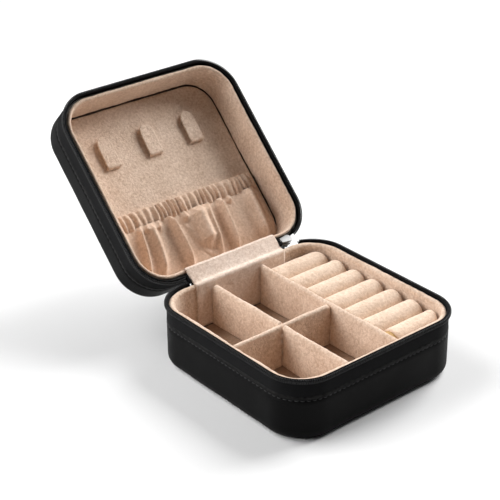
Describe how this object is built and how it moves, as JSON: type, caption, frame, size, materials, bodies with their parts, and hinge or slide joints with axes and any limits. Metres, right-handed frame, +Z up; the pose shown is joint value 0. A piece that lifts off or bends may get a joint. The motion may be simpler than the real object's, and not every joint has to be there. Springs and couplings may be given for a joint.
{
  "type": "leather jewellery case",
  "caption": "Small square zip jewellery case in black leather, velvet lined, open, with ring rolls, removable dividers, necklace hooks and a gathered lid pocket.",
  "frame": {"origin": "centre of the base's flat underside, on the surface the case stands on", "axes": "+Z up, +Y towards the hinge, so the front of the open case is -Y; +X is the side with the ring rolls"},
  "size_m": [0.1026, 0.1874, 0.1044],
  "materials": {
    "black_leather": "fine-grained coated leather, satin",
    "shell_board": "grey board, matt, hidden inside the walls",
    "zip_tape": "woven tape, matt",
    "zip_coil": "moulded coil, semi-gloss",
    "beige_velvet": "short-pile velvet, matt with a pale sheen",
    "floor_fabric": "short-pile velvet, darker",
    "foam": "cut foam, matt",
    "nickel": "satin nickel plate"
  },
  "bodies": {
    "base": {"base_leather_cover": "black_leather", "base_shell_board": "shell_board", "base_zip_tape": "zip_tape", "base_zip_coil": "zip_coil", "base_liner_wall": "beige_velvet", "base_floor_pad": "floor_fabric", "ring_bed": "foam", "ring_divider": "beige_velvet", "ring_roll_cover_1": "beige_velvet", "ring_roll_cover_2": "beige_velvet", "ring_roll_cover_3": "beige_velvet", "ring_roll_cover_4": "beige_velvet", "ring_roll_cover_5": "beige_velvet", "ring_roll_cover_6": "beige_velvet", "ring_roll_cover_7": "beige_velvet", "ring_roll_core_1": "foam", "ring_roll_core_2": "foam", "ring_roll_core_3": "foam", "ring_roll_core_4": "foam", "ring_roll_core_5": "foam", "ring_roll_core_6": "foam", "ring_roll_core_7": "foam", "hinge_lining_strip": "beige_velvet", "hinge_leather_spine": "black_leather"},
    "lid": {"lid_leather_cover": "black_leather", "lid_shell_board": "shell_board", "lid_zip_tape": "zip_tape", "lid_zip_coil": "zip_coil", "lid_liner_wall": "beige_velvet", "lid_panel": "beige_velvet", "pocket_elastic": "beige_velvet", "pocket_cloth": "beige_velvet", "necklace_hook_1": "beige_velvet", "necklace_hook_2": "beige_velvet", "necklace_hook_3": "beige_velvet"},
    "zip_ends": {"zip_end_left": "zip_tape", "zip_end_right": "zip_tape"},
    "slider": {"zip_slider": "nickel"},
    "pull": {"zip_pull": "nickel"},
    "middle_board": {"middle_divider": "beige_velvet"},
    "cross_board": {"cross_divider": "beige_velvet"}
  },
  "joints": [
    {"name": "lid_hinge", "type": "hinge", "parent": "base", "child": "lid", "pos_m": [0, 0.051, 0.03166], "axis": [-1, 0, 0], "range_deg": [-134.88, 0], "deforming": ["hinge_lining_strip", "hinge_leather_spine"]},
    {"name": "zip_fold", "type": "hinge", "parent": "base", "child": "zip_ends", "pos_m": [0, 0.051, 0.03166], "axis": [-1, 0, 0], "range_deg": [-67.44, 0]},
    {"name": "slider_travel", "type": "slide", "parent": "zip_ends", "child": "slider", "axis": [1, 0, 0], "range_m": [0, 0.003]},
    {"name": "pull_swing", "type": "hinge", "parent": "slider", "child": "pull", "pos_m": [0.0318, 0.05205, 0.02912], "axis": [0, 0.9235, 0.3837], "range_deg": [-80, 80]},
    {"name": "middle_divider_lift", "type": "slide", "parent": "base", "child": "middle_board", "axis": [0, 0, 1], "range_m": [0, 0.025]},
    {"name": "cross_divider_lift", "type": "slide", "parent": "middle_board", "child": "cross_board", "axis": [0, 0, 1], "range_m": [0, 0.025]}
  ],
  "couplings": [
    {"joint": "zip_fold", "follows": "lid_hinge", "ratio": 0.5}
  ]
}
